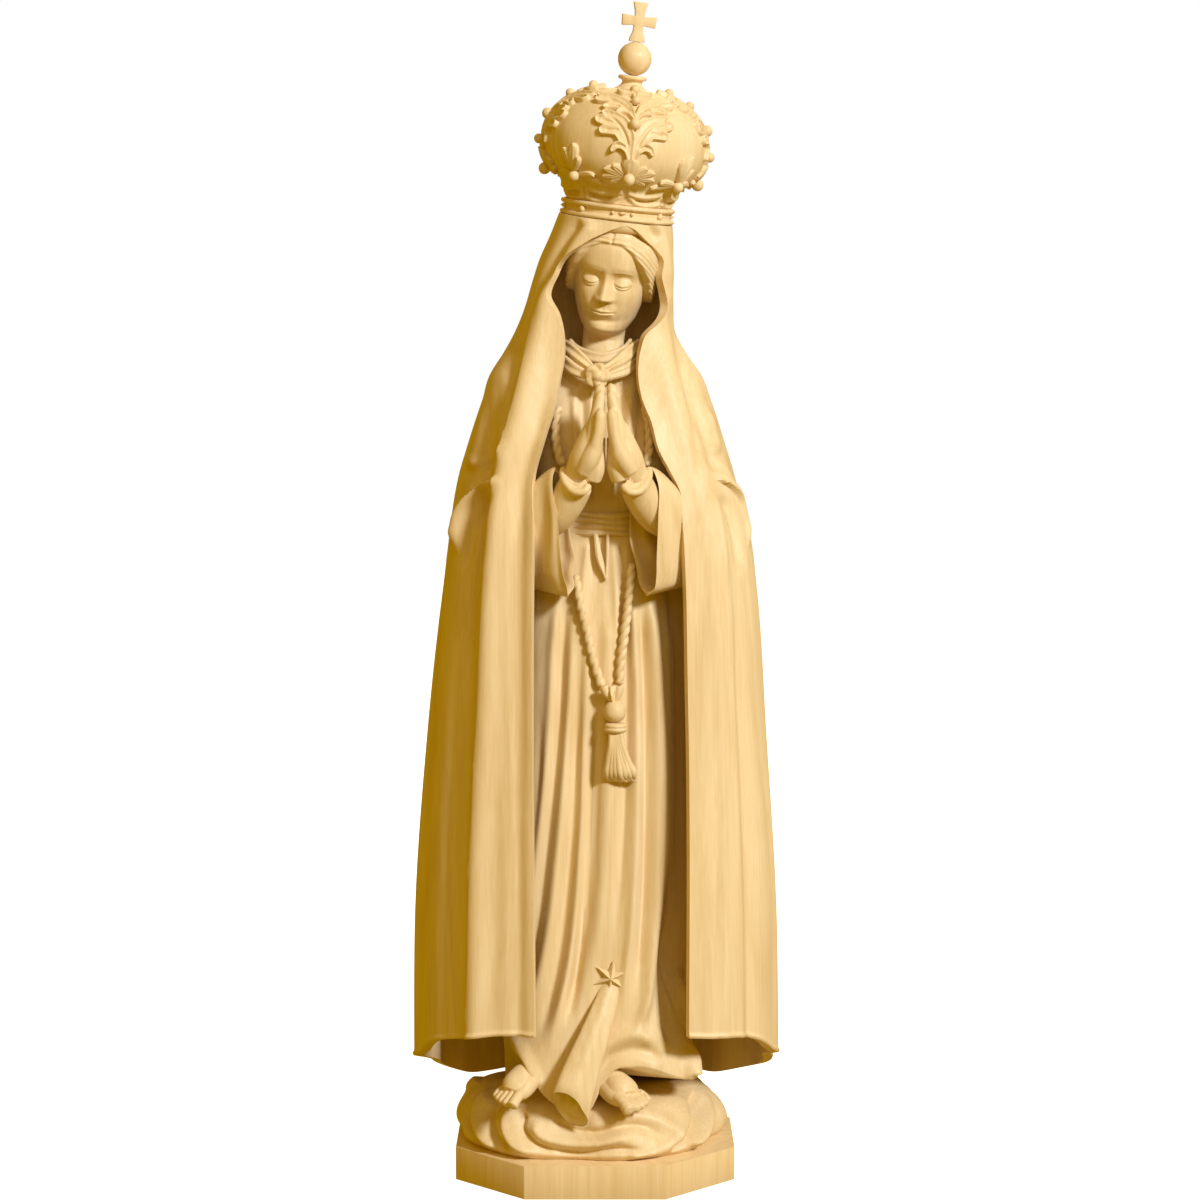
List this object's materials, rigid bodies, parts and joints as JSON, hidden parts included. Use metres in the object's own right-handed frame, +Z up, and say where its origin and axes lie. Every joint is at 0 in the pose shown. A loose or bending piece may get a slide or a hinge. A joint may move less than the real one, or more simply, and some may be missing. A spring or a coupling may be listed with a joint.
{
  "type": "carved madonna statue",
  "caption": "Carved wooden praying madonna in a long mantle on a cloud and cut-cornered plinth, with a lift-off crown bearing an orb and a cross.",
  "frame": {"origin": "centre of the plinth's underside", "axes": "+Z up, the figure faces -Y, +X to the right of someone who looks at its face"},
  "size_m": [0.2486, 0.182, 0.8005],
  "materials": {
    "limewood": "pale limewood, carved, lightly waxed to a satin",
    "plinth_wood": "pale limewood board, sawn, sanded and waxed",
    "beech_dowel": "bare beech dowel, glued",
    "screw_steel": "plain countersunk wood screw"
  },
  "bodies": {
    "statue": {"bead": "limewood", "belt": "limewood", "body_dowel_left": "beech_dowel", "body_dowel_right": "beech_dowel", "cloud": "limewood", "collar": "limewood", "collar_knot": "limewood", "cord_lower_left": "limewood", "cord_lower_right": "limewood", "cord_upper_left": "limewood", "cord_upper_right": "limewood", "cord_yoke": "limewood", "crown_peg": "beech_dowel", "cuff_left": "limewood", "cuff_right": "limewood", "foot_left": "limewood", "foot_right": "limewood", "hand_left": "limewood", "hand_right": "limewood", "head": "limewood", "head_dowel": "beech_dowel", "mantle_back": "limewood", "mantle_left": "limewood", "mantle_right": "limewood", "plinth": "plinth_wood", "plinth_screw_1": "screw_steel", "plinth_screw_2": "screw_steel", "plinth_screw_3": "screw_steel", "robe": "limewood", "sleeve_left": "limewood", "sleeve_right": "limewood", "star": "limewood", "tassel": "limewood", "tassel_ring": "limewood", "veil": "limewood", "wrist_dowel_left": "beech_dowel", "wrist_dowel_right": "beech_dowel"},
    "crown": {"cross": "limewood", "crown_arch_back": "limewood", "crown_arch_front": "limewood", "crown_arch_left": "limewood", "crown_arch_right": "limewood", "crown_circlet": "limewood", "crown_dome": "limewood", "crown_finial": "limewood", "crown_flower_back": "limewood", "crown_flower_front": "limewood", "crown_flower_left": "limewood", "crown_flower_right": "limewood", "crown_sprig_back_left": "limewood", "crown_sprig_back_right": "limewood", "crown_sprig_front_left": "limewood", "crown_sprig_front_right": "limewood", "orb": "limewood", "orb_pin": "beech_dowel"}
  },
  "joints": [
    {"name": "crown_lift", "type": "slide", "parent": "statue", "child": "crown", "axis": [0.1129, -0.0698, 0.9912], "range_m": [0, 0.06]}
  ]
}
